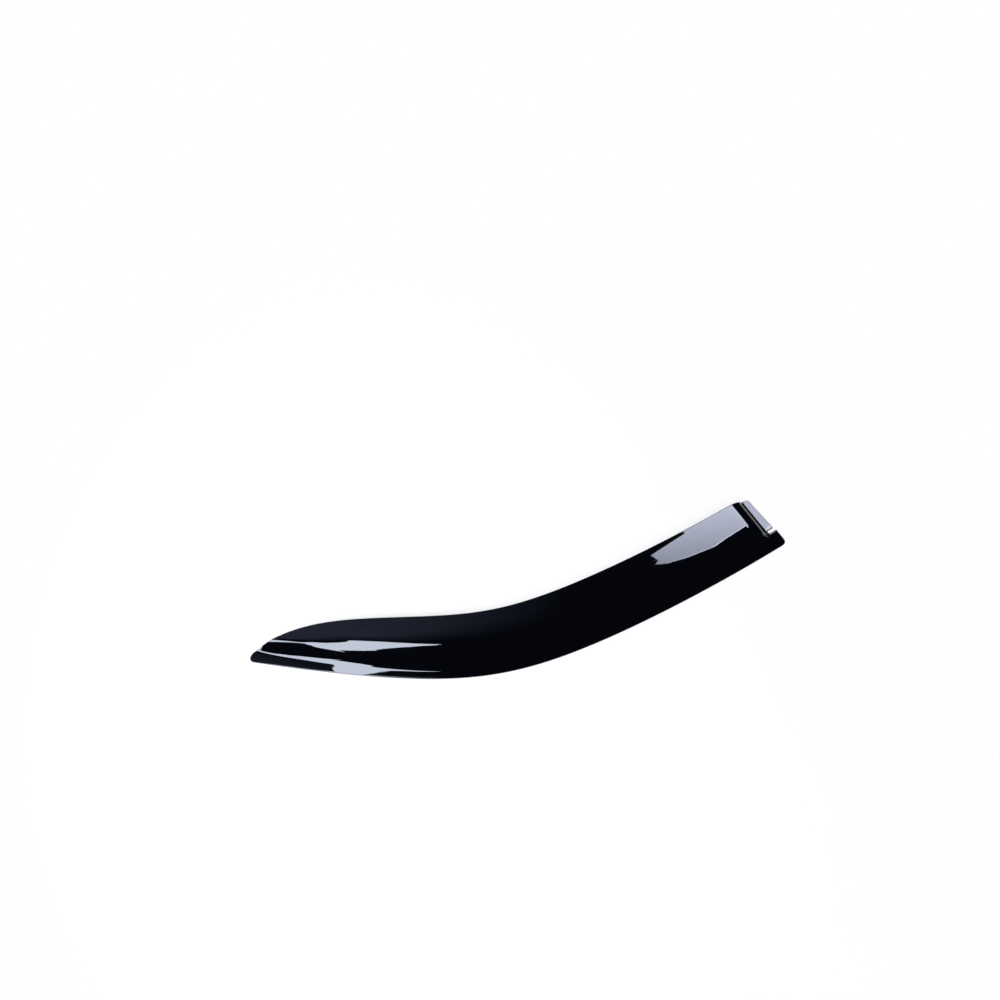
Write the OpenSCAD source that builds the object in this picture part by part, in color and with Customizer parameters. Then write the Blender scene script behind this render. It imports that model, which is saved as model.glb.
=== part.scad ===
// Window rain deflector for the front door of a car, right side.
// One moulded sheet: a flat flange that sits on the window frame, a steep wall, a rounded
// shoulder and a flat-arched crown that ends in a free edge over the glass.
// Millimetres, +Z up. The flange's back lies in z = 0 and +Z is the outside of the car.
// +X runs from the front tip to the rear end, +Y from the flange to the free edge.
// The origin is the centre of the outline, at the height of the flange's back.

/* [Outer edge of the flange, seen from above] */
// Developed length of the outer edge, from the front tip to the rear end
edge_length = 924; // [840:1:1000]
// Angle by which the edge bends between its front and its rear run, degrees
bend_angle = 23.5; // [16:0.5:30]
// Where the bend has its middle, measured along the edge from the tip
bend_at = 395; // [340:1:470]
// How far the bend spreads to each side of its middle
bend_spread = 127; // [90:1:180]
// Radius of the slight sweep that the whole edge has
sweep_radius = 3300; // [2500:50:9000]

/* [Sheet] */
// Thickness of the moulded sheet
sheet = 2.8; // [2:0.1:3.4]
// Chamfer along all edges of the sheet
edge_break = 0.7; // [0.4:0.1:0.9]

/* [Flange and wall] */
// Width of the flange from its outer edge to the foot of the wall
flange_width = 17; // [14:0.5:19]
// Steepness of the side wall, degrees from the flange's plane
wall_angle = 44; // [40:1:52]
// Height over which the foot of the wall is filleted
foot_blend = 4.5; // [3:0.5:8]
// Height over which the wall rounds into the crown
shoulder_blend = 5; // [4:0.5:9]

/* [Crown] */
// Height of the whole part
body_height = 21.5; // [18:0.5:25]
// Width of the whole part across the edge
body_width = 100; // [88:0.5:110]
// Where the crown is highest, as a share of the width
crown_at = 0.58; // [0.52:0.01:0.62]
// Distance of the crown's highest line from the outer edge at the tip
crest_at_tip = 21; // [16:1:30]
// Radius of the crown across its width in the front part
crown_radius_front = 125; // [110:5:200]
// Radius of the crown across its width in the rear part
crown_radius_rear = 500; // [300:10:700]

/* [Front tip] */
// Width of the blunt tip
tip_width = 13; // [9:0.5:15]
// Run over which the free edge comes in to the tip
taper_run = 90; // [70:1:110]
// Run over which the body sinks to the flange's plane at the tip
sink_run = 48; // [35:1:70]
// Height over which the foot of the wall is filleted at the tip
tip_foot_blend = 1.5; // [1:0.5:4.5]

/* [Rear end] */
// Distance of the end wall's foot from the rear end, at the outer edge
end_flange_width = 18.5; // [17.5:0.5:21]
// Run over which the end wall rounds into the crown
end_roll = 36; // [28:1:40]
// Run over which the foot of the end wall is filleted
end_foot_blend = 1.6; // [1.2:0.2:2.4]
// Angle by which the rear end is off square, degrees
end_skew = 5; // [2:0.1:7]
// Angle by which the end wall is off square, degrees
end_wall_skew = 1.5; // [0:0.1:2]
// How much narrower the free edge is at the rear end
end_inset = 3.5; // [2:0.5:6]
// Distance from the outer edge to the near side of the notch
notch_from_edge = 28.5; // [27:0.5:30]
// Width of the notch
notch_width = 4.5; // [4:0.5:6]
// Depth of the notch from the rear end
notch_depth = 15; // [13:0.5:16]
// How far the flange reaches past the end flange, on its side of the notch
flange_reach = 2.5; // [0:0.5:4]
// Rounding of the flange's outer corner at the rear end
flange_corner = 11; // [6:0.5:12]
// Rounding of the free edge's corner at the rear end
corner_radius = 4; // [2.5:0.5:5]

/* [Hidden] */

// Heights above the flange's face
crown_rise = body_height - sheet;
wall_slope = tan(wall_angle);
skew = tan(end_skew);
wall_skew = tan(end_wall_skew);

// Smooth maximum and minimum of two heights, blended over k
function smax(a, b, k) = max(a, b) + pow(max(k - abs(a - b), 0), 2) / (4 * k);
function smin(a, b, k) = min(a, b) - pow(max(k - abs(a - b), 0), 2) / (4 * k);
// Runs smoothly from 0 at a to 1 at b
function ease(a, b, x) = let (u = min(max((x - a) / (b - a), 0), 1)) u * u * (3 - 2 * u);

// Heading of the outer edge at the developed length s, degrees
function heading(s) = s / sweep_radius * 180 / PI
    + bend_angle / (1 + exp(-2 * (s - bend_at) / bend_spread));
// Change of the heading at s, in radians for each millimetre
function bending(s) = (heading(s + 1) - heading(s - 1)) * PI / 360;

// Width of the part across the edge at s
function width(s) = tip_width + (body_width - tip_width) * (1 - exp(-s / taper_run))
    - end_inset * ease(edge_length - 55, edge_length, s);
// Share of the full height that the body has at s
function risen(s) = 1 - 0.8 * exp(-s / sink_run);
// Radius of the crown at s
function crown_radius(s) = crown_radius_front
    + (crown_radius_rear - crown_radius_front) * ease(170, 430, s);
// Distance of the highest line from the outer edge at s
function crest(s) = crown_at * body_width
    + (crest_at_tip - crown_at * body_width) * exp(-s / taper_run);

// Share of the height left by the end wall: steep at its foot, then a wide roll into the crown
function ending(s, d) = let (
    e = smax(0, edge_length - s - wall_skew * d - end_flange_width, end_foot_blend)
) 1 - pow(1 - min(e / end_roll, 1), 4);

// Height of the outer face above the flange's back, at s along and d across the edge
function face(s, d) = let (
    foot = foot_blend + (tip_foot_blend - foot_blend) * exp(-s / taper_run),
    side = smax(0, wall_slope * (d - flange_width), foot),
    crown = crown_rise - pow(d - crest(s), 2) / (2 * crown_radius(s))
) sheet + risen(s) * ending(s, d) * smin(side, crown, shoulder_blend);

// Lines across the edge, as developed lengths: close at the tip and over the end wall
tip_lines = 15;
mid_lines = 38;
tip_run = 96;
end_run = 58;
stations = [
    each [for (k = [0:tip_lines - 1]) tip_run * pow(k / tip_lines, 1.7)],
    each [for (k = [0:mid_lines - 1])
        tip_run + (edge_length - end_run - tip_run) * k / mid_lines],
    each [for (k = [0:10]) edge_length - end_run + (end_run - 28) * k / 11],
    each [for (k = [0:8]) edge_length - 28 + (28 - notch_depth) * k / 9],
    each [for (k = [0:9]) edge_length - notch_depth * pow(1 - k / 10, 1.5)],
    edge_length
];
last = len(stations) - 1;
notch_line = last - 10;

// Lines along the edge, as distances from it where the part has its full width
inner_run = 38;
inner_rows = [
    each [for (k = [0:6]) 13 * pow(k / 7, 1.5)],
    each [for (k = [0:6]) 13 + (notch_from_edge - 13) * k / 7],
    each [for (k = [0:3]) notch_from_edge + notch_width * k / 4],
    each [for (k = [0:3])
        notch_from_edge + notch_width + (inner_run - notch_from_edge - notch_width) * k / 4]
];
inner_count = len(inner_rows);
crown_rows = 10;
rows = inner_count + crown_rows;
notch_a = 14;
notch_b = 18;

// Points of the outer edge at the stations, summed from the heading
start = [for (i = 0, p = [0, 0]; i <= last; i = i + 1,
    p = i > last ? p : p + (stations[i] - stations[i - 1])
        * [cos(heading((stations[i] + stations[i - 1]) / 2)),
           sin(heading((stations[i] + stations[i - 1]) / 2))]) p];
// Turn that lays the outer edge's two ends level
turn = -atan2(start[last][1], start[last][0]);
function turned(p) = [p[0] * cos(turn) - p[1] * sin(turn), p[0] * sin(turn) + p[1] * cos(turn)];

// Distance from the edge of row j at station s: the rows crowd together where the part is narrow
function row_at(s, j) = let (
    w = width(s),
    a = min(inner_run, 0.72 * w)
) j < inner_count ? inner_rows[j] * a / inner_run
    : a + (w - a) * (1 - pow(1 - (j - inner_count) / crown_rows, 1.6));

// How far a corner rounding moves the end of a row inwards
function corner(d, w, r) = let (
    u = min(d, w - d)
) u < r ? r - sqrt(r * r - pow(r - u, 2)) : 0;
// The same for the tip: a quarter round on the flange's side, and on the free side a flatter
// round that ends in the direction in which the free edge opens out
nose_radius = 0.9 * tip_width;
nose_slope = 0.7 * taper_run / (body_width - tip_width);
nose_side = nose_radius * nose_slope / sqrt(1 + nose_slope * nose_slope);
function nose(d, w) = let (
    r = tip_width / 2,
    a = max(r - d, 0),
    b = max(nose_side - (w - d), 0)
) r - sqrt(r * r - a * a) + nose_radius - sqrt(nose_radius * nose_radius - b * b);
// The same for the round inner end of the notch
function notch_end(d) = let (
    r = notch_width / 2,
    u = abs(d - notch_from_edge - r)
) u < r + 0.01 ? r - sqrt(max(r * r - u * u, 0)) : 0;

// Developed length of the point on row j of station i
function along(i, d) = let (
    s = stations[i],
    e = edge_length - s,
    w = width(s),
    at_tip = nose(d, w) * max(0, 1 - s / 16),
    near_end = max(0, 1 - e / notch_depth),
    reach = d < notch_from_edge + 0.01 ? flange_reach : 0,
    at_rear = (corner(d, w, d < w / 2 ? flange_corner : corner_radius) - reach) * near_end,
    at_notch = notch_end(d) * (e <= notch_depth ? e / notch_depth
        : max(0, 1 - (e - notch_depth) / 8))
) s + at_tip - at_rear + at_notch - wall_skew * d * ease(260, 60, e)
    - (skew - wall_skew) * d * near_end;

// Point of the plan at station i, distance d from the edge
function plan(i, d) = let (
    s = along(i, d),
    t = s - stations[i],
    h = heading((s + stations[i]) / 2),
    q = heading(s),
    p = start[i] + t * [cos(h), sin(h)] + d * [-sin(q), cos(q)]
) turned(p);

// Outward direction of the outer face at station i, distance d from the edge
function normal(i, d) = let (
    s = along(i, d),
    q = heading(s) + turn,
    fs = (face(s + 0.05, d) - face(s - 0.05, d)) / 0.1 / (1 - bending(s) * d),
    fd = (face(s, d + 0.05) - face(s, d - 0.05)) / 0.1,
    n = [-fs * cos(q) + fd * sin(q), -fs * sin(q) - fd * cos(q), 1]
) n / norm(n);

// Grids of plan points, heights and directions
spots = [for (i = [0:last]) [for (j = [0:rows]) let (d = row_at(stations[i], j))
    let (p = plan(i, d)) [p[0], p[1], face(along(i, d), d)]]];
ups = [for (i = [0:last]) [for (j = [0:rows]) normal(i, row_at(stations[i], j))]];

// The way round the sheet's edge, as pairs of station and row, with the notch
rim = [
    each [for (i = [0:last]) [i, 0]],
    each [for (j = [1:notch_a]) [last, j]],
    each [for (i = [last - 1:-1:notch_line]) [i, notch_a]],
    each [for (j = [notch_a + 1:notch_b]) [notch_line, j]],
    each [for (i = [notch_line + 1:last]) [i, notch_b]],
    each [for (j = [notch_b + 1:rows]) [last, j]],
    each [for (i = [last - 1:-1:0]) [i, rows]],
    each [for (j = [rows - 1:-1:1]) [0, j]]
];
rims = len(rim);
function at(grid, r) = grid[r[0]][r[1]];
// Direction that points out of the sheet at place b of the rim, mitred at corners
function out(b) = let (
    here = at(spots, rim[b]),
    n = at(ups, rim[b]),
    c1 = cross(here - at(spots, rim[(b + rims - 1) % rims]), n),
    c2 = cross(at(spots, rim[(b + 1) % rims]) - here, n),
    o1 = c1 / norm(c1),
    o2 = c2 / norm(c2)
) (o1 + o2) / max(0.7, 1 + o1 * o2);
outs = [for (b = [0:rims - 1]) out(b)];
// Number of each grid point's place on the rim, or -1 inside the sheet
function on_rim(i, j) = i == 0 || i == last || j == 0 || j == rows
    || (i >= notch_line && (j == notch_a || j == notch_b))
    || (i == notch_line && j > notch_a && j < notch_b);
function place(i, j) = j == 0 ? i
    : i == last && j <= notch_a ? last + j
    : j == notch_a && i >= notch_line ? last + notch_a + last - i
    : i == notch_line && j > notch_a && j <= notch_b
        ? 2 * last + notch_a - notch_line + j - notch_a
    : j == notch_b && i > notch_line
        ? 2 * last - notch_line + notch_b + i - notch_line
    : i == last ? 3 * last - 2 * notch_line + notch_b + j - notch_b
    : j == rows ? 3 * last - 2 * notch_line + rows + last - i
    : 4 * last - 2 * notch_line + 2 * rows - j;

// Points: outer face, inner face, then two more round the edge of the sheet
function face_point(i, j) = on_rim(i, j)
    ? spots[i][j] - edge_break * outs[place(i, j)] : spots[i][j];
outer_points = [for (i = [0:last]) for (j = [0:rows]) face_point(i, j)];
inner_points = [for (i = [0:last]) for (j = [0:rows])
    let (p = face_point(i, j) - sheet * ups[i][j]) [p[0], p[1], max(p[2], 0)]];
edge_points = [for (r = rim) each [at(spots, r) - edge_break * at(ups, r),
    at(spots, r) - (sheet - edge_break) * at(ups, r)]];

// Box of the plan, whose centre becomes the origin
xs = [for (r = rim) at(spots, r)[0]];
ys = [for (r = rim) at(spots, r)[1]];
centre = [(min(xs) + max(xs)) / 2, (min(ys) + max(ys)) / 2, 0];

span = rows + 1;
inner_start = (last + 1) * span;
edge_start = 2 * inner_start;
function outer_no(i, j) = i * span + j;
function rim_no(b, layer) = let (r = rim[b % rims]) layer == 0 ? outer_no(r[0], r[1])
    : layer == 3 ? inner_start + outer_no(r[0], r[1])
    : edge_start + 2 * (b % rims) + layer - 1;
function in_notch(i, j) = i >= notch_line && j >= notch_a && j < notch_b;

outer_faces = [for (i = [0:last - 1]) for (j = [0:rows - 1]) if (!in_notch(i, j)) each [
    [outer_no(i, j), outer_no(i, j + 1), outer_no(i + 1, j)],
    [outer_no(i + 1, j), outer_no(i, j + 1), outer_no(i + 1, j + 1)]]];
inner_faces = [for (f = outer_faces) [f[0] + inner_start, f[2] + inner_start, f[1] + inner_start]];
edge_faces = [for (b = [0:rims - 1]) for (m = [0:2]) each [
    [rim_no(b, m), rim_no(b + 1, m), rim_no(b + 1, m + 1)],
    [rim_no(b, m), rim_no(b + 1, m + 1), rim_no(b, m + 1)]]];

// The whole deflector, one moulded sheet of black glossy plastic
module deflector() {
    color([0.02, 0.02, 0.025])
        translate(-centre)
            polyhedron(
                points = concat(outer_points, inner_points, edge_points),
                faces = concat(outer_faces, inner_faces, edge_faces),
                convexity = 6);
}

deflector();
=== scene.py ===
# %% [markdown]
# # A window rain deflector
# The object is one moulded sheet of black glossy plastic, about 0.9 m long. A flat flange sits on
# the frame of a car's front window, a wall lifts the sheet off the glass, and a wide, almost flat
# crown runs out to a free edge that lets the rain drip clear of the open window. This lesson
# dresses a CAD model of it in Blender: it builds the sheet again with Geometry Nodes, gives it a
# finish, and lights it as in the photograph. Everything is in metres, in the CAD model's frame:
# +X runs from the front tip to the rear end, +Y from the flange to the free edge, +Z is outside.

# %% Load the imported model
import math
import bpy
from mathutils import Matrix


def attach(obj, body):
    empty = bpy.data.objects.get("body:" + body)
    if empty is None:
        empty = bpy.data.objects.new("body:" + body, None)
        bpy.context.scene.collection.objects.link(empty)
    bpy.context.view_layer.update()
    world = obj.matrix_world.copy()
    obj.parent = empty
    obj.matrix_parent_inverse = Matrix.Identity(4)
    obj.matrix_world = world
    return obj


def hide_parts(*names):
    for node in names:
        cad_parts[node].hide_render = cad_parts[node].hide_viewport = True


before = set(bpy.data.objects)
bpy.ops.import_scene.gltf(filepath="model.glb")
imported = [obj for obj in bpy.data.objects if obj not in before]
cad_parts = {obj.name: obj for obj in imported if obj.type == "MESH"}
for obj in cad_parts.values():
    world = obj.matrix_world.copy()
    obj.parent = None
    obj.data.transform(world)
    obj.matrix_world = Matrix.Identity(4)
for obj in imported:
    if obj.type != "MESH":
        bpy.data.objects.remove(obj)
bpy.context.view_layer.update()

# %% [markdown]
# ## Sums made of nodes
# Both the shape and the finish are worked out by node trees. A tree of Math nodes is slow to read
# and slow to write, so this small class wraps a node's output and lets Python's own signs add the
# Math nodes. Its method `make` adds any other node: the settings first, because they decide which
# sockets there are, and then the values or links.

# %% A socket that can be used in a sum
class Wire:
    """The output of a node, with Python's signs as Math nodes."""

    def __init__(self, tree, socket):
        self.tree, self.socket = tree, socket

    def make(self, kind, settings=None, out=0, **inputs):
        """Adds a node of any kind. An input's spaces are written as underscores."""
        node = self.tree.nodes.new(kind)
        for name, value in (settings or {}).items():
            setattr(node, name, value)
        for name, value in inputs.items():
            socket = (node.inputs[int(name[1:])] if name[0] == "_"
                      else node.inputs[name.replace("_", " ")])
            if isinstance(value, Wire):
                self.tree.links.new(value.socket, socket)
            else:
                socket.default_value = value
        return Wire(self.tree, node.outputs[out])

    def other(self, out):
        """Another output of the same node."""
        return Wire(self.tree, self.socket.node.outputs[out])

    def math(self, operation, *values):
        return self.make("ShaderNodeMath", {"operation": operation},
                         **{f"_{i}": value for i, value in enumerate(values)})

    def __add__(self, b): return self.math("ADD", self, b)
    def __radd__(self, b): return self.math("ADD", b, self)
    def __sub__(self, b): return self.math("SUBTRACT", self, b)
    def __rsub__(self, b): return self.math("SUBTRACT", b, self)
    def __mul__(self, b): return self.math("MULTIPLY", self, b)
    def __rmul__(self, b): return self.math("MULTIPLY", b, self)
    def __truediv__(self, b): return self.math("DIVIDE", self, b)
    def __rtruediv__(self, b): return self.math("DIVIDE", b, self)
    def __pow__(self, b): return self.math("POWER", self, b)
    def __neg__(self): return self.math("MULTIPLY", self, -1)
    def __abs__(self): return self.math("ABSOLUTE", self)
    def __gt__(self, b): return self.math("GREATER_THAN", self, b)
    def __lt__(self, b): return self.math("LESS_THAN", self, b)

    def least(self, b): return self.math("MINIMUM", self, b)
    def most(self, b): return self.math("MAXIMUM", self, b)
    def exp(self): return self.math("EXPONENT", self)
    def root(self): return self.math("SQRT", self)

    def ramp(self, a, b, low=0, high=1, kind="LINEAR"):
        """Runs from low at a to high at b and stays there."""
        return self.make("ShaderNodeMapRange", {"interpolation_type": kind}, Value=self,
                         From_Min=a, From_Max=b, To_Min=low, To_Max=high)


print("socket class ready")

# %% [markdown]
# ## The sizes
# These are the CAD model's own values, in metres. They become the named inputs of the node tree,
# so that the sheet could be refitted to another door by changing them there. Only the last one,
# the strength of the lip, is the scene's own. The second cell holds numbers of the same laws that
# would stay the same on another door.

# %% Sizes of the sheet
SIZES = {
    "Edge Length": 0.924, "Thickness": 0.0028,
    "Flange Width": 0.017, "Wall Slope": math.tan(math.radians(44)),
    "Foot Blend": 0.0045, "Tip Foot": 0.0015, "Shoulder Blend": 0.005,
    "Height": 0.0215, "Width": 0.100, "Crest": 0.058, "Crest At Tip": 0.021,
    "Front Radius": 0.125, "Rear Radius": 0.500,
    "Tip Width": 0.013, "Taper Run": 0.090, "Sink Run": 0.048,
    "End Flange": 0.0185, "End Roll": 0.036, "End Foot": 0.0016,
    "End Skew": math.tan(math.radians(5)), "Wall Skew": math.tan(math.radians(1.5)),
    "End Inset": 0.0035, "Notch Side": 0.0285, "Notch Width": 0.0045, "Notch Depth": 0.015,
    "Flange Reach": 0.0025, "Flange Corner": 0.011, "Corner Radius": 0.004,
    "Lip": 1.0,
}
LENGTH = SIZES["Edge Length"]
print(len(SIZES), "sizes, edge", LENGTH, "m long")

# %% Numbers of the shape's laws, distances in metres
CROWN_EASES = (0.170, 0.430)  # from the strong arch in front to the flat one behind
SUNK_AT_TIP = 0.8  # share of the height that is missing at the tip
INSET_RUN = 0.055  # where the free edge draws in, up to the rear end
NOSE_RADIUS = 0.9  # radius of the nose's free side, as a share of the tip's width
NOSE_SLOPE = 0.7  # how nearly that side turns to the free edge; at 1 the grid would fold
NOSE_RUN, NOTCH_RUN = 0.016, 0.008  # over which the slide at the nose or the notch fades
LEAN_RUN = (0.260, 0.060)  # distances from the rear end between which the columns start to lean
LIP_AHEAD = (0.128, 0.148, 0.012, 0)  # the lip near the tip: from, to, first width, last width
LIP_BEHIND = (0.141, 0.247, 0, 0.014)  # the same behind the flat stretch
LIP_FADES = (0.72, 0.86, 1, 0)  # towards the rear end: from, to, first share, last share
HAIR = 0.00001  # keeps a comparison clear of rounding
print("crown flattens between", CROWN_EASES[0], "and", CROWN_EASES[1], "m from the tip")

# %% [markdown]
# ## The line that everything follows
# On the real part the flange's outer edge is what fits the door: a long gentle sweep with one
# bend, where the windscreen pillar runs into the roof. Its heading follows a simple law, so the
# points come from stepping along it. A curve drawn by hand would be quicker but would not repeat
# the CAD model's edge. The points become a mesh of edges, which the node tree turns into a curve.

# %% The outer edge as a line of points
BEND, BEND_AT, BEND_SPREAD, SWEEP = math.radians(23.5), 0.395, 0.127, 3.3
TIP = (-0.448056, 0.008811)
STEPS = 1848  # half a millimetre each


def heading(s):
    """Direction of the edge at s metres from the tip."""
    return s / SWEEP + BEND / (1 + math.exp(-2 * (s - BEND_AT) / BEND_SPREAD))


def edge_points():
    """Points of the edge, laid so that its two ends are level."""
    step, x, y, line = LENGTH / STEPS, 0.0, 0.0, [(0.0, 0.0)]
    for i in range(STEPS):
        turn = heading((i + 0.5) * step)
        x, y = x + step * math.cos(turn), y + step * math.sin(turn)
        line.append((x, y))
    level = -math.atan2(y, x)
    c, s = math.cos(level), math.sin(level)
    return [(TIP[0] + c * x - s * y, TIP[1] + s * x + c * y, 0.0) for x, y in line]


line = edge_points()
guide_mesh = bpy.data.meshes.new("edge_line")
guide_mesh.from_pydata(line, [(i, i + 1) for i in range(len(line) - 1)], [])
guide = bpy.data.objects.new("edge_line", guide_mesh)
bpy.context.scene.collection.objects.link(guide)
print("edge from", [round(v, 4) for v in line[0]], "to", [round(v, 4) for v in line[-1]])

# %% [markdown]
# ## The law of the sheet's face
# The height of the face above the frame is the lower of two shapes: a wall that rises from the
# flange, and a flat arch, the crown. A rounded minimum joins them, and that rounding is the
# shoulder that carries the long highlights. At the rear end the height falls off to nothing: a
# wide roll, then a steep wall. Both are told as a share of the height, and as one multiplies the
# other, the two walls meet in a soft corner. The lip is a rise of at most 0.2 mm towards the
# flange's outer edge. It turns the flange's mirror image away from the lamp, but for one stretch
# in front, which stays flat and bright. The functions here take wires and give back wires.

# %% Rounded joins between heights
def rounded_max(a, b, k):
    """The higher of two heights, blended over k."""
    gap = (k - abs(a - b)).most(0)
    return a.most(b) + gap * gap / (4 * k)


def rounded_min(a, b, k):
    """The lower of two heights, blended over k."""
    gap = (k - abs(a - b)).most(0)
    return a.least(b) - gap * gap / (4 * k)


def ending(z, s, d):
    """Share of the height that the end wall leaves: steep at its foot, then a wide roll."""
    left = z["Edge Length"] - s - z["Wall Skew"] * d - z["End Flange"]
    return 1 - (1 - rounded_max(left, 0, z["End Foot"]) / z["End Roll"]).most(0) ** 4


# %% Width, crown and height of the face
def local_width(z, s):
    """Width of the sheet at s along the edge: a blunt tip that opens to the full width."""
    near_end = s.ramp(z["Edge Length"] - INSET_RUN, z["Edge Length"], kind="SMOOTHSTEP")
    opening = (z["Width"] - z["Tip Width"]) * (1 - (-s / z["Taper Run"]).exp())
    return z["Tip Width"] + opening - z["End Inset"] * near_end


def lip(z, s, d):
    """Rise of the flange's face towards its outer edge."""
    reach = s.ramp(*LIP_AHEAD) + s.ramp(*LIP_BEHIND)
    return (reach - d).most(0) ** 2 * z["Lip"] * s.ramp(*LIP_FADES)


def face_height(z, s, d):
    """Height of the outer face at s along the edge and d across it."""
    narrow = (-s / z["Taper Run"]).exp()
    foot = z["Foot Blend"] + (z["Tip Foot"] - z["Foot Blend"]) * narrow
    side = rounded_max(z["Wall Slope"] * (d - z["Flange Width"]), 0, foot)
    radius = s.ramp(*CROWN_EASES, z["Front Radius"], z["Rear Radius"], "SMOOTHSTEP")
    off = d - (z["Crest"] + (z["Crest At Tip"] - z["Crest"]) * narrow)
    crown = z["Height"] - z["Thickness"] - off * off / (2 * radius)
    risen = 1 - SUNK_AT_TIP * (-s / z["Sink Run"]).exp()
    return z["Thickness"] + lip(z, s, d) + risen * ending(z, s, d) * rounded_min(
        side, crown, z["Shoulder Blend"])


print("height law ready")

# %% [markdown]
# ## Where the lines of the mesh go
# A flat grid is laid over the face and bent into place. Its columns cross the sheet and its rows
# follow it. Even spacing would waste points on the long middle and miss the notch, so each list
# gives runs of lines: how many, and over what distance. They crowd at the tip, at the rear end,
# along the wall and at the rims, and they fall exactly on the sides of the notch.

# %% Runs of columns and rows
COLUMNS = [(10, 0.012), (12, 0.028), (14, 0.060), (124, 0.760), (18, 0.033), (14, 0.016),
           (12, 0.015)]
ROWS_NEAR = [(3, 0.003), (3, 0.006), (13, 0.0195), (4, 0.0045), (5, 0.005)]
ROWS_FAR = [(10, 0.90), (5, 0.10)]
INNER_RUN, INNER_SHARE = 0.038, 0.72  # the near rows take the smaller of a run and a share
columns = sum(n for n, _ in COLUMNS)
near_rows = sum(n for n, _ in ROWS_NEAR)
rows = near_rows + sum(n for n, _ in ROWS_FAR)
notch_column = columns - COLUMNS[-1][0]
notch_rows = (sum(n for n, _ in ROWS_NEAR[:3]), sum(n for n, _ in ROWS_NEAR[:4]))


def spread(number, runs, first=0):
    """Distance of a line from its number: straight runs, one after another."""
    total = None
    for count, distance in runs:
        part = number.ramp(first, first + count, 0, distance)
        total = part if total is None else total + part
        first += count
    return total


print("grid of", columns, "by", rows, "faces; notch from column", notch_column, "rows", notch_rows)

# %% [markdown]
# ## Rounded corners and the notch
# The corners at both ends are rounded by sliding the ends of the rows inwards along the sheet, so
# the grid keeps its plain rows and columns. The nose at the tip needs care: the free edge opens
# out straight behind it, so a full quarter round there would push rows past each other and fold
# the sheet. The notch is a slot between the long flange and the end flange: its faces are left out
# of the grid, and the same sliding makes its inner end round.

# %% Rounded ends of rows
def rounding(radius, inside):
    """Slide of a point that lies inside a round corner, counted from the corner's centre."""
    return radius - (radius * radius - inside * inside).most(0).root()


def nose(z, width, d):
    """Slide at the tip: a quarter round on the flange's side, and on the free side a flatter
    round that ends near the direction in which the free edge opens out."""
    near, far = z["Tip Width"] / 2, NOSE_RADIUS * z["Tip Width"]
    slope = NOSE_SLOPE * z["Taper Run"] / (z["Width"] - z["Tip Width"])
    side = far * slope / (1 + slope * slope).root()
    return rounding(near, (near - d).most(0)) + rounding(far, (side - (width - d)).most(0))


def rear_corners(z, width, d):
    """Slide at the rear end: a large corner on the flange, which also reaches further, and a
    small one at the free edge."""
    rim = d.least(width - d)
    large, small = z["Flange Corner"], z["Corner Radius"]
    outside = d < width / 2
    on_flange = d < z["Notch Side"] + HAIR
    return (outside * rounding(large, (large - rim).most(0))
            + (1 - outside) * rounding(small, (small - rim).most(0))
            - on_flange * z["Flange Reach"])


# %% How far a point slides along the sheet
def slid(z, s, d):
    """Developed length of a point, after the corners, the notch's end and the skew."""
    left = z["Edge Length"] - s
    width = local_width(z, s)
    near_end = left.ramp(0, z["Notch Depth"], 1, 0)
    half = z["Notch Width"] / 2
    off = abs(d - z["Notch Side"] - half)
    at_notch = rounding(half, off) * (off < half + HAIR) * left.ramp(
        0, z["Notch Depth"]) * left.ramp(z["Notch Depth"], z["Notch Depth"] + NOTCH_RUN, 1, 0)
    lean = z["Wall Skew"] * left.ramp(*LEAN_RUN, kind="SMOOTHSTEP")
    lean = lean + (z["End Skew"] - z["Wall Skew"]) * near_end
    return (s + nose(z, width, d) * s.ramp(0, NOSE_RUN, 1, 0)
            - rear_corners(z, width, d) * near_end + at_notch - d * lean)


print("sliding ready")

# %% [markdown]
# ## The tree
# The tree takes the line of points, turns it into a curve and lays the grid along it: for every
# grid point the curve is sampled at its developed length, the point moves across by its distance
# from the edge, and up by the height law. It ends in Realize Instances and Set Material.

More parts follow.
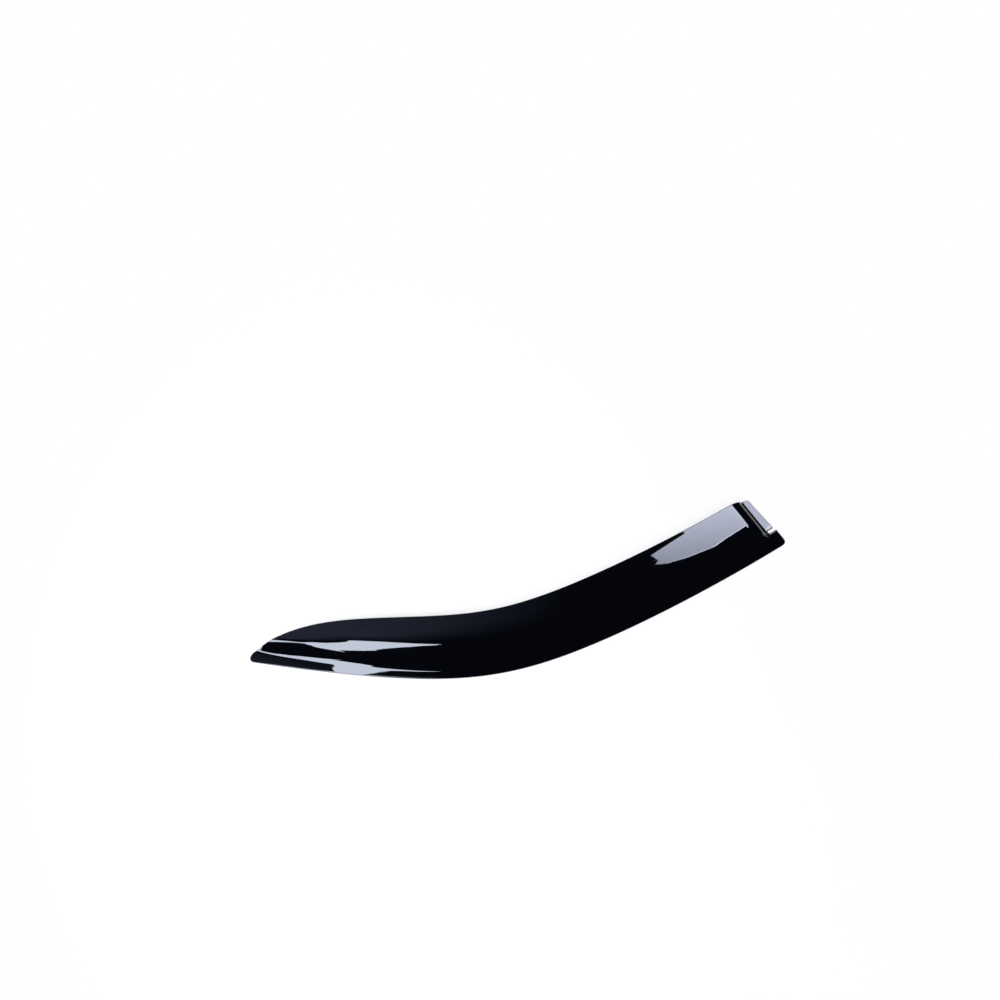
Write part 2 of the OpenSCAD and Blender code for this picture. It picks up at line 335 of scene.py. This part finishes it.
# %% Geometry Nodes: a sheet along an edge
def sheet_tree():
    tree = bpy.data.node_groups.new("Deflector sheet", "GeometryNodeTree")
    tree.interface.new_socket(name="Edge", in_out="INPUT", socket_type="NodeSocketGeometry")
    for name, value in SIZES.items():
        socket = tree.interface.new_socket(name=name, in_out="INPUT",
                                           socket_type="NodeSocketFloat")
        socket.default_value = value
    tree.interface.new_socket(name="Finish", in_out="INPUT", socket_type="NodeSocketMaterial")
    tree.interface.new_socket(name="Sheet", in_out="OUTPUT", socket_type="NodeSocketGeometry")
    start = tree.nodes.new("NodeGroupInput")
    z = {socket.name: Wire(tree, socket) for socket in start.outputs if socket.name}
    edge = z["Edge"]

    flat = edge.make("GeometryNodeMeshGrid", Size_X=columns, Size_Y=rows,
                     Vertices_X=columns + 1, Vertices_Y=rows + 1)
    place = edge.make("ShaderNodeSeparateXYZ", Vector=edge.make("GeometryNodeInputPosition"))
    column, row = place + columns / 2, place.other(1) + rows / 2
    in_notch = (column > notch_column) * (row > notch_rows[0]) * (row < notch_rows[1])
    grid = edge.make("GeometryNodeDeleteGeometry", {"domain": "FACE"},
                     Geometry=flat, Selection=in_notch)

    s = spread(column, COLUMNS)
    width = local_width(z, s)
    inner = (INNER_SHARE * width).least(INNER_RUN)
    d = (spread(row, ROWS_NEAR) * inner / INNER_RUN
         + (width - inner) * spread(row, ROWS_FAR, near_rows))
    s = slid(z, s, d)
    curve = edge.make("GeometryNodeMeshToCurve", Mesh=edge)
    there = edge.make("GeometryNodeSampleCurve", {"mode": "LENGTH"}, out="Position",
                      Curves=curve, Length=s)
    up = edge.make("ShaderNodeCombineXYZ", Z=1.0)
    across = edge.make("ShaderNodeVectorMath", {"operation": "CROSS_PRODUCT"},
                       _0=up, _1=there.other("Tangent"))
    shift = edge.make("ShaderNodeVectorMath", {"operation": "SCALE"},
                      _0=across, Scale=d)
    rise = edge.make("ShaderNodeCombineXYZ", Z=face_height(z, s, d))
    level = edge.make("ShaderNodeVectorMath", {"operation": "ADD"}, _0=there, _1=shift)
    spot = edge.make("ShaderNodeVectorMath", {"operation": "ADD"}, _0=level, _1=rise)
    bent = edge.make("GeometryNodeSetPosition", Geometry=grid, Position=spot)
    real = edge.make("GeometryNodeRealizeInstances", Geometry=bent)
    done = edge.make("GeometryNodeSetMaterial", Geometry=real, Material=z["Finish"])
    end = tree.nodes.new("NodeGroupOutput")
    tree.links.new(done.socket, end.inputs["Sheet"])
    return tree


tree = sheet_tree()
print("tree with", len(tree.nodes), "nodes")

# %% [markdown]
# ## The finish
# The real sheet is near-black acrylic with a mirror-like gloss. Nothing in it shows but what it
# mirrors, so the finish lives in small things: the gloss is a little uneven, the surface waves by
# a few hundredths of a millimetre, which makes the edges of the highlights wander, and handling
# has left faint hairlines and specks. Under the sheet the mould's satin side shows. A clear coat
# was not used: acrylic has one surface.

# %% Black acrylic
def black_acrylic():
    finish = bpy.data.materials.new("black_acrylic")
    finish.use_nodes = True
    tree = finish.node_tree
    shader = tree.nodes["Principled BSDF"]
    place = Wire(tree, tree.nodes.new("ShaderNodeTexCoord").outputs["Object"])

    def noise(scale, detail, at=place, rough=0.5):
        return place.make("ShaderNodeTexNoise", out="Fac", Vector=at, Scale=scale,
                          Detail=detail, Roughness=rough)

    clouds = noise(11.0, 3.0)
    grain = noise(900.0, 2.0)
    drawn = place.make("ShaderNodeMapping", Vector=place, Scale=(3.0, 160.0, 60.0),
                       Rotation=(0.0, 0.0, 0.35))
    hairs = noise(6.0, 4.0, drawn, 0.7).ramp(0.62, 0.72)
    specks = place.make("ShaderNodeTexVoronoi", out="Distance", Vector=place,
                        Scale=160.0).ramp(0.10, 0.03)
    normal = place.make("ShaderNodeSeparateXYZ",
                        Vector=Wire(tree, place.socket.node.outputs["Normal"]))
    below = normal.other(2).ramp(-0.1, -0.4)
    roughness = (0.012 + 0.012 * clouds.ramp(0.35, 0.75) + 0.05 * hairs
                 + 0.10 * specks * clouds.ramp(0.5, 0.7) + 0.24 * below)
    tint = place.make("ShaderNodeMix", {"data_type": "RGBA"}, out=2,
                      _0=clouds.ramp(0.3, 0.8), _6=(0.0004, 0.0007, 0.0014, 1),
                      _7=(0.0008, 0.0011, 0.0019, 1))
    waves = noise(9.0, 2.0) + 0.25 * noise(34.0, 2.0)
    bump = place.make("ShaderNodeBump", Strength=1.0, Distance=0.00006, Height=waves)
    fine = place.make("ShaderNodeBump", Strength=0.06, Distance=0.00002, Height=grain,
                      Normal=bump)
    for wire, name in ((roughness, "Roughness"), (tint, "Base Color"), (fine, "Normal")):
        tree.links.new(wire.socket, shader.inputs[name])
    shader.inputs["IOR"].default_value = 1.58
    shader.inputs["Specular Tint"].default_value = (0.87, 0.92, 1.0, 1)
    return finish


acrylic = black_acrylic()
print("finish with", len(acrylic.node_tree.nodes), "nodes")

# %% [markdown]
# ## From tree to sheet
# The modifier's inputs are set by each socket's identifier before Blender evaluates the object.
# Solidify then gives the face its thickness, downwards, and one level of Subdivision Surface
# rounds the rims as a mould does. The result becomes a plain mesh, and the guide line goes.

# %% Build the sheet
laid = guide.modifiers.new("lay", "NODES")
laid.node_group = tree
for item in tree.interface.items_tree:
    if item.in_out == "INPUT" and item.name in SIZES:
        laid[item.identifier] = SIZES[item.name]
    elif item.name == "Finish":
        laid[item.identifier] = acrylic
thick = guide.modifiers.new("thickness", "SOLIDIFY")
thick.thickness, thick.offset = SIZES["Thickness"], -1
smooth = guide.modifiers.new("rounding", "SUBSURF")
smooth.levels = smooth.render_levels = 1
shown = guide.evaluated_get(bpy.context.evaluated_depsgraph_get())
mesh = bpy.data.meshes.new_from_object(shown)
mesh.name = "deflector_sheet"
mesh.polygons.foreach_set("use_smooth", [True] * len(mesh.polygons))
mesh.materials.clear()
mesh.materials.append(acrylic)
sheet = bpy.data.objects.new("deflector_sheet", mesh)
bpy.context.scene.collection.objects.link(sheet)
bpy.data.objects.remove(guide)
low = [min(v.co[k] for v in mesh.vertices) for k in range(3)]
high = [max(v.co[k] for v in mesh.vertices) for k in range(3)]
print(len(mesh.polygons), "faces, from", [round(v, 4) for v in low], "to",
      [round(v, 4) for v in high], "finish", mesh.materials[0].name)

# %% The sheet stands for the CAD solid
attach(sheet, "root")
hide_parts("deflector")
print("sheet rides on root")

# %% [markdown]
# ## The floor
# The photograph's ground is plain white. A white plane takes the sheet's soft shadow. Away from
# the sheet the lamps reach it less, and it would turn grey, so there, and only where a camera,
# mirror or clear ray meets it, its own white takes over.

# %% White floor
HALF, BELOW = 9.0, 0.0004  # half its side, and its distance below the sheet's back
OWN_WHITE = (0.35, 0.80, 0.55, 1.0)  # from, to, first share, last share


def white_floor():
    ground = bpy.data.meshes.new("floor")
    ground.from_pydata([(-HALF, -HALF, 0), (HALF, -HALF, 0), (HALF, HALF, 0), (-HALF, HALF, 0)],
                       [], [(0, 1, 2, 3)])
    floor = bpy.data.objects.new("floor", ground)
    floor.location.z = -BELOW
    bpy.context.scene.collection.objects.link(floor)
    finish = bpy.data.materials.new("white_floor")
    finish.use_nodes = True
    tree = finish.node_tree
    shader = tree.nodes["Principled BSDF"]
    shader.inputs["Base Color"].default_value = (0.95, 0.945, 0.91, 1)
    shader.inputs["Roughness"].default_value = 0.9
    shader.inputs["Specular IOR Level"].default_value = 0.0
    path = Wire(tree, tree.nodes.new("ShaderNodeLightPath").outputs["Is Camera Ray"])
    shown = path.most(path.other("Is Glossy Ray")).most(path.other("Is Transmission Ray"))
    place = Wire(tree, tree.nodes.new("ShaderNodeTexCoord").outputs["Object"])
    away = place.make("ShaderNodeVectorMath", {"operation": "LENGTH"}, out="Value", _0=place)
    own = path.make("ShaderNodeEmission", Strength=1.0)
    mixed = path.make("ShaderNodeMixShader", _0=shown * away.ramp(*OWN_WHITE),
                      _1=Wire(tree, shader.outputs[0]), _2=own)
    tree.links.new(mixed.socket, tree.nodes["Material Output"].inputs["Surface"])
    ground.materials.append(finish)
    return floor


floor = white_floor()
print("floor at", round(floor.location.z, 4))

# %% [markdown]
# ## Softboxes under a dark ceiling
# The highlights tell where the lamps were. The bright patch at the rear mirrors one large
# softbox. Both long streaks in front mirror a second one, a long wedge: once in the shoulder and
# once in the foot of the wall. The outline of each lamp was found by following rays from the
# camera off the sheet's face to the height of the lamps. A third screen lies just above the rear
# one and looks out on two of its sides, for the light rim of that patch. Between the lamps the
# sheet mirrors a dark ceiling, and that is why it looks black.

# %% Softbox
CEILING = 3.0  # height of the lamps
FAINT, STRONG = (0.35 * CEILING, 0.30 * CEILING), (0.56 * CEILING, 0.48 * CEILING)


def softbox(name, corners, tint, dim, bright=None, above=0.0):
    """A flat glowing screen that faces down; its corners are shares of its height. It glows as
    strongly as dim says, or from dim to bright along the line from FAINT to STRONG. Its back is
    clear."""
    height = CEILING + above
    screen = bpy.data.meshes.new(name)
    screen.from_pydata([(x * height, y * height, height) for x, y in corners], [],
                       [tuple(range(len(corners)))])
    glow = bpy.data.materials.new(name)
    glow.use_nodes = True
    tree = glow.node_tree
    tree.nodes.clear()
    back = Wire(tree, tree.nodes.new("ShaderNodeNewGeometry").outputs["Backfacing"])
    place = Wire(tree, tree.nodes.new("ShaderNodeTexCoord").outputs["Object"])
    at = place.make("ShaderNodeSeparateXYZ", Vector=place)
    way = (STRONG[0] - FAINT[0], STRONG[1] - FAINT[1])
    along = (at - FAINT[0]) * way[0] + (at.other(1) - FAINT[1]) * way[1]
    strength = along.ramp(0, way[0] ** 2 + way[1] ** 2, dim, bright or dim)
    light = back.make("ShaderNodeEmission", Strength=strength, Color=tint)
    clear = back.make("ShaderNodeBsdfTransparent")
    both = back.make("ShaderNodeMixShader", _0=back, _1=light, _2=clear)
    end = tree.nodes.new("ShaderNodeOutputMaterial")
    tree.links.new(both.socket, end.inputs["Surface"])
    screen.materials.append(glow)
    box = bpy.data.objects.new(name, screen)
    box.visible_camera = False
    bpy.context.scene.collection.objects.link(box)
    return box


FRONT = [(-0.09, 0.168), (-0.104, 0.157), (-0.14, 0.138), (-0.20, 0.068), (-0.28, -0.06),
         (-0.345, -0.20), (-0.46, -0.51), (-0.66, -0.86), (-0.86, -1.14), (-1.14, -1.50),
         (-1.50, -2.20), (-1.36, -1.83), (-1.117, -1.19), (-0.876, -0.745), (-0.83, -0.61),
         (-0.74, -0.42), (-0.80, -0.38), (-0.92, -0.43), (-1.04, -0.42), (-1.16, -0.38),
         (-1.15, -0.20), (-1.00, -0.06), (-0.925, -0.03), (-0.845, -0.12), (-0.74, -0.17),
         (-0.66, -0.17), (-0.57, -0.09), (-0.483, 0.02), (-0.40, 0.06), (-0.358, 0.115),
         (-0.30, 0.178), (-0.277, 0.228), (-0.252, 0.217), (-0.233, 0.209), (-0.20, 0.198),
         (-0.17, 0.189), (-0.13, 0.179)]
REAR = [(0.348, 0.325), (0.353, 0.352), (0.334, 0.42), (0.408, 0.473), (0.392, 0.55),
        (0.40, 0.69), (0.60, 0.69), (0.652, 0.352), (0.597, 0.300), (0.566, 0.318),
        (0.503, 0.283), (0.482, 0.264), (0.416, 0.277), (0.369, 0.301)]
RIM = [(x + 0.005, y - 0.006) for x, y in REAR]
softbox("softbox_front", FRONT, (0.905, 0.925, 1, 1), dim=13.3)
softbox("softbox_rear", REAR, (0.86, 0.87, 1, 1), dim=6.2, bright=12.5)
softbox("softbox_rim", RIM, (0.90, 0.90, 1, 1), dim=12.0, bright=16.0, above=0.003)
print("softboxes at", CEILING, "m")

# %% [markdown]
# ## A world for each kind of ray
# A world that is pale all round would turn the black sheet grey. So mirror rays meet a dark
# ceiling. The part of it beyond the free edge and towards the tip has a bluish haze, which gives
# the crown its faint sheen in front, and the horizon is white. Camera rays and clear rays meet
# plain white, and everything else is lit evenly by a soft grey.

# %% World
CEILING_GLOW, HAZE_GLOW, SOFT_GLOW = 0.03, 0.50, 0.25
LOWEST = 0.05  # lowest direction for which the slopes below still count
world = bpy.data.worlds.new("studio")
world.use_nodes = True
bpy.context.scene.world = world
tree = world.node_tree
path = Wire(tree, tree.nodes.new("ShaderNodeLightPath").outputs["Is Camera Ray"])
rear = path.make("ShaderNodeSeparateXYZ",
                 Vector=Wire(tree, tree.nodes.new("ShaderNodeTexCoord").outputs["Generated"]))
up, back = rear.other("Z"), rear.other("Y")
horizon = up.ramp(0.0, 0.02, 1.0, 0.0)
steep = up.most(LOWEST)
haze = (back / steep).ramp(0.22, 0.36, 0.0, HAZE_GLOW) * up.ramp(0.2, 0.4) * (
    rear / steep).ramp(-0.12, 0.14, 1.0, 0.0)
mirrored = (CEILING_GLOW + haze).most(horizon)
white = path.most(path.other("Is Transmission Ray"))
glossy = path.other("Is Glossy Ray")
strength = white + (1 - white) * (glossy * mirrored + (1 - glossy) * SOFT_GLOW)
colour = path.make("ShaderNodeMix", {"data_type": "RGBA"}, out=2, _0=glossy * (1 - horizon),
                   _6=(1, 1, 1, 1), _7=(0.62, 0.67, 1, 1))
tree.links.new(strength.socket, tree.nodes["Background"].inputs["Strength"])
tree.links.new(colour.socket, tree.nodes["Background"].inputs["Color"])
print("world ready")

# %% [markdown]
# ## The camera
# The place of the camera was worked out from the photograph: with this lens, tilt and turn the
# sheet's tip, bend, width and rear corners fall where they do there.

# %% Camera
TILT, TURN = 67.62, 12.752  # degrees below the horizon, and towards the rear end
lens = bpy.data.cameras.new("camera")
lens.lens, lens.sensor_width, lens.shift_y = 26.8258, 36.0, 0.009285
lens.clip_start, lens.clip_end = 0.01, 100.0
camera = bpy.data.objects.new("camera", lens)
camera.location = (-0.11342, -0.29711, 1.17507)
camera.rotation_euler = (math.radians(90 - TILT), 0, math.radians(-TURN))
bpy.context.scene.collection.objects.link(camera)
bpy.context.scene.camera = camera
bpy.context.scene.view_settings.view_transform = "Standard"
print("camera at", [round(v, 3) for v in camera.location])
